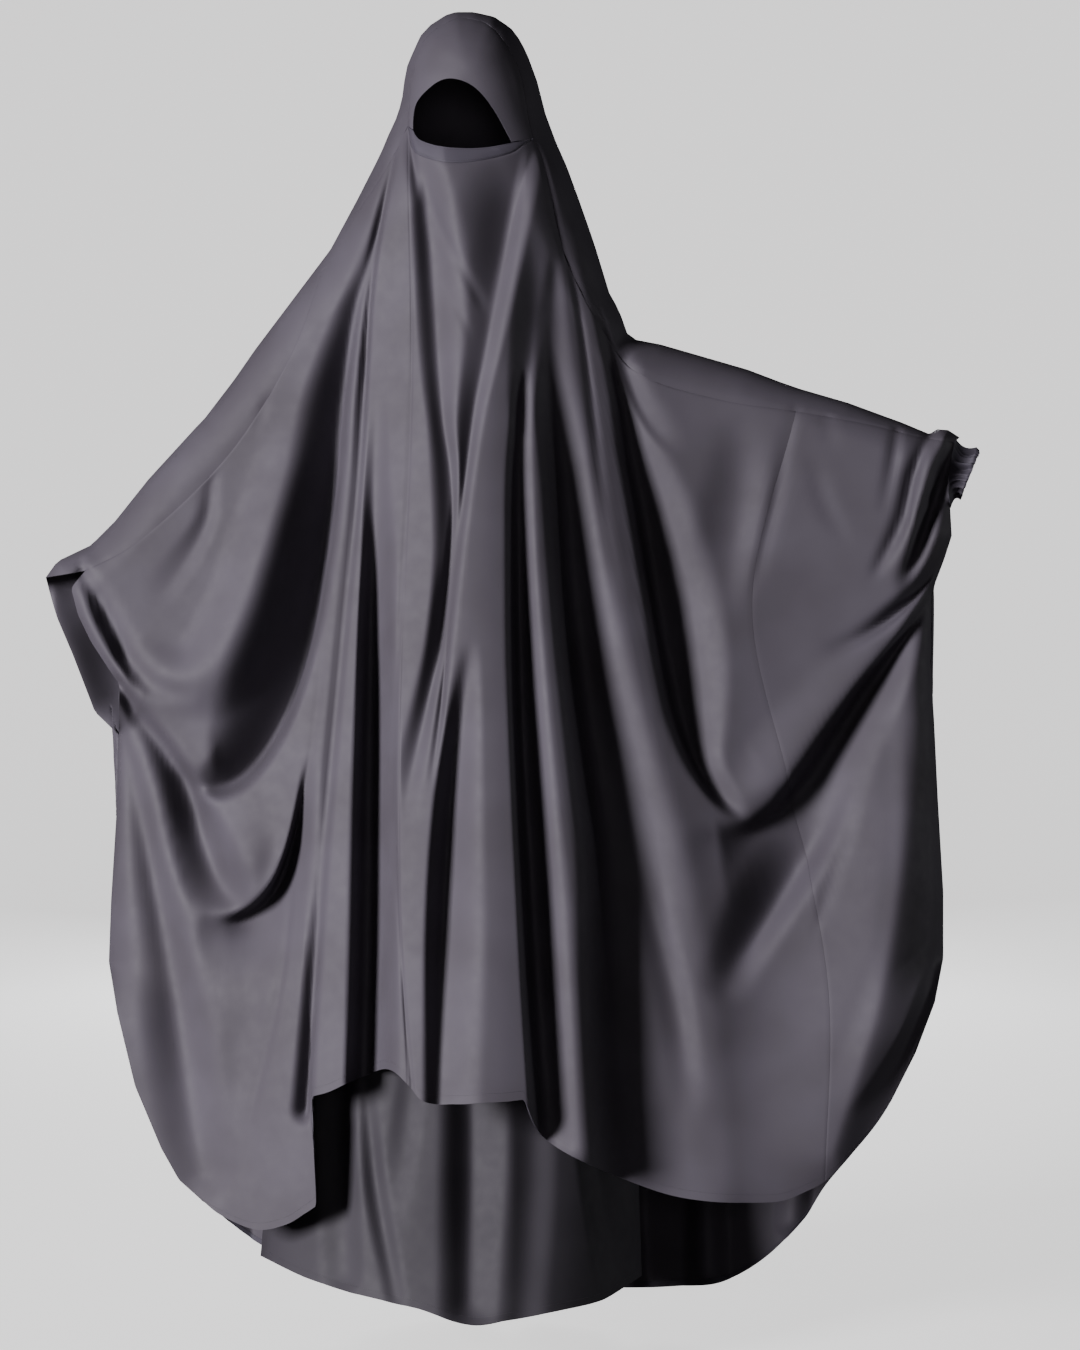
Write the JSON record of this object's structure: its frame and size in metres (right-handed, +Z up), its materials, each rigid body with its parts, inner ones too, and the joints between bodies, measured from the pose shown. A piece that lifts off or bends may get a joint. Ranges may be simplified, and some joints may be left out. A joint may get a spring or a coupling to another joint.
{
  "type": "two-piece jilbab",
  "caption": "Floor-length two-piece modest dress in worn form: a hooded mantle with half face veil and wide sleeves, over a gathered skirt.",
  "frame": {"origin": "crown of the hood, on the inside of which the wearer's head carries the garment", "axes": "+X to the right as seen from in front, +Y to the back, +Z up"},
  "size_m": [1.214, 0.5483, 1.7172],
  "materials": {
    "front_panel": "satin crepe, soft sheen",
    "front_wing": "satin crepe, soft sheen",
    "back_and_hood": "satin crepe, soft sheen",
    "forehead_piece": "satin crepe, soft sheen",
    "face_band": "satin crepe, stitched",
    "wrist_cuff": "satin crepe, gathered on elastic",
    "skirt_front": "satin crepe, soft sheen",
    "skirt_back": "satin crepe, soft sheen",
    "skirt_waistband": "satin crepe, elastic casing"
  },
  "bodies": {
    "root": {"front_panel": "front_panel", "front_wing": "front_wing", "back_and_hood": "back_and_hood", "forehead_piece": "forehead_piece", "face_band": "face_band", "wrist_cuff": "wrist_cuff", "skirt_front": "skirt_front", "skirt_back": "skirt_back", "skirt_waistband": "skirt_waistband"}
  },
  "joints": []
}
